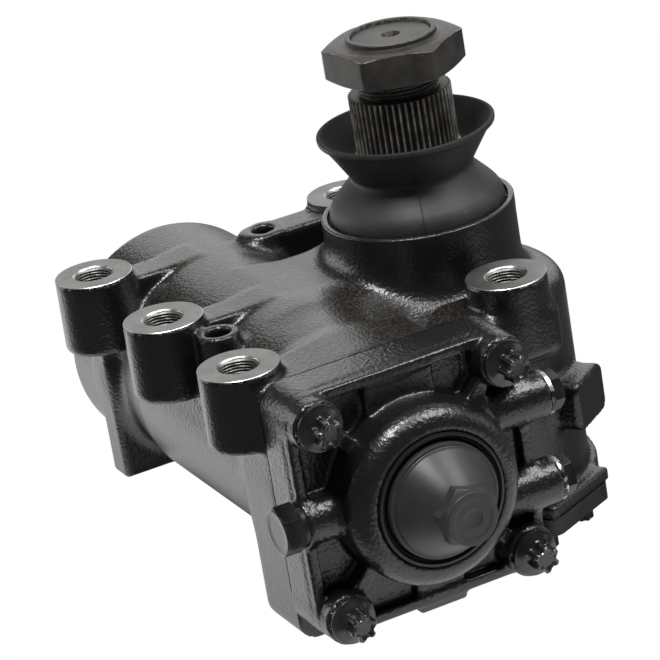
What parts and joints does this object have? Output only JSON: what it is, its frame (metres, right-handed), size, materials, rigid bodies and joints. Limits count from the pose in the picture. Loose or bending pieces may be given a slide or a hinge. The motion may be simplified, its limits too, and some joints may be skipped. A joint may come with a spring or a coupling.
{
  "type": "steering gearbox",
  "caption": "Recirculating-ball power steering gear with a barrel housing, bolted valve housing, side cover, serrated drop-arm shaft with nut and rubber dust boot.",
  "frame": {"origin": "centre of the rectangle of four mounting holes, on the plane of the machined boss faces", "axes": "+X along the worm towards the valve end, +Y from the worm towards the sector shaft, +Z along the sector shaft towards its nut"},
  "size_m": [0.3315, 0.2388, 0.2705],
  "materials": {
    "housing_paint": "satin black paint over cast iron",
    "valve_paint": "gloss black paint over rough cast iron",
    "black_fasteners": "black coated steel",
    "zinc_steel": "plain bright steel",
    "boot_rubber": "matte rubber",
    "seal_rubber": "oiled rubber",
    "bearing_steel": "ground steel",
    "phosphated_steel": "dark phosphate",
    "machined_steel": "machined and oiled",
    "cap_plastic": "satin plastic"
  },
  "bodies": {
    "housing": {"main_housing": "housing_paint", "valve_housing": "valve_paint", "valve_housing_bolts": "black_fasteners", "valve_housing_seal": "seal_rubber", "side_cover": "housing_paint", "side_cover_bolts": "black_fasteners", "side_cover_seal": "seal_rubber", "adjuster_screw": "zinc_steel", "adjuster_lock_nut": "zinc_steel", "left_port_plug": "black_fasteners", "right_port_plugs": "black_fasteners", "port_washers": "zinc_steel", "upper_sector_bearing": "bearing_steel", "lower_sector_bearing": "bearing_steel", "sector_shaft_seal": "seal_rubber", "worm_bearing": "bearing_steel", "input_bearing": "bearing_steel", "input_seal": "seal_rubber"},
    "sector": {"sector_shaft": "phosphated_steel", "pitman_nut": "phosphated_steel", "dust_boot": "boot_rubber"},
    "rack": {"rack_piston": "machined_steel", "piston_seal_ring": "seal_rubber", "ball_guide": "machined_steel", "ball_guide_screws": "machined_steel", "recirculating_balls": "bearing_steel"},
    "worm": {"worm_shaft": "machined_steel", "valve_sleeve": "machined_steel", "torsion_bar": "machined_steel"},
    "input": {"input_shaft": "machined_steel", "input_cap": "cap_plastic"}
  },
  "joints": [
    {"name": "sector_turn", "type": "hinge", "parent": "housing", "child": "sector", "pos_m": [0, 0.073, 0], "axis": [0, 0, 1], "range_deg": [-45, 45]},
    {"name": "rack_slide", "type": "slide", "parent": "housing", "child": "rack", "axis": [1, 0, 0], "range_m": [-0.0393, 0.0393]},
    {"name": "worm_turn", "type": "hinge", "parent": "housing", "child": "worm", "pos_m": [0, -0.015, -0.065], "axis": [1, 0, 0], "range_deg": [-884, 884]},
    {"name": "input_twist", "type": "hinge", "parent": "worm", "child": "input", "pos_m": [0.15, -0.015, -0.065], "axis": [1, 0, 0], "range_deg": [-5, 5], "stiffness_Nm_per_rad": 20}
  ],
  "couplings": [
    {"joint": "rack_slide", "follows": "sector_turn", "m_per_rad": 0.05},
    {"joint": "worm_turn", "follows": "sector_turn", "ratio": -19.635}
  ]
}
